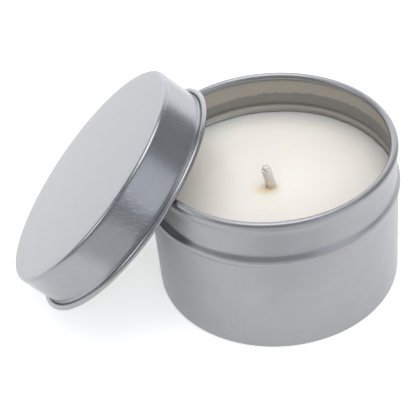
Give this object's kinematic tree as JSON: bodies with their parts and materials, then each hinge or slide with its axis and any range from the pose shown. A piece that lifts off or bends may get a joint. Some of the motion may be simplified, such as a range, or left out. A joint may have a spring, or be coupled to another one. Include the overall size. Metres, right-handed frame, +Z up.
{
  "type": "candle tin",
  "caption": "Round metal candle tin with a rolled rim and a bead, poured wax and a standing wick, its slip-on lid leaning against the rim.",
  "frame": {"origin": "centre of the can's base, on the plane that its foot ring stands on", "axes": "+Z is up, along the can's axis. +X points away from the lid, which leans on the can's -X side and is symmetric about the XZ plane."},
  "size_m": [0.1256, 0.0834, 0.0674],
  "materials": {
    "can_tinplate": "satin",
    "lid_tinplate": "satin",
    "wax": "matte",
    "wick_cotton": "matte",
    "core_thread": "matte",
    "tab_steel": "satin",
    "sticker_foam": "matte"
  },
  "bodies": {
    "tin": {"can": "can_tinplate", "wax": "wax", "wick_braid": "wick_cotton", "wick_core": "core_thread", "wick_sustainer": "tab_steel", "sustainer_sticker": "sticker_foam"},
    "lid": {"lid": "lid_tinplate"}
  },
  "joints": [
    {"name": "lid_lift", "type": "slide", "parent": "tin", "child": "lid", "axis": [-0.7083, 0, 0.7059], "range_m": [0, 0.09]}
  ]
}
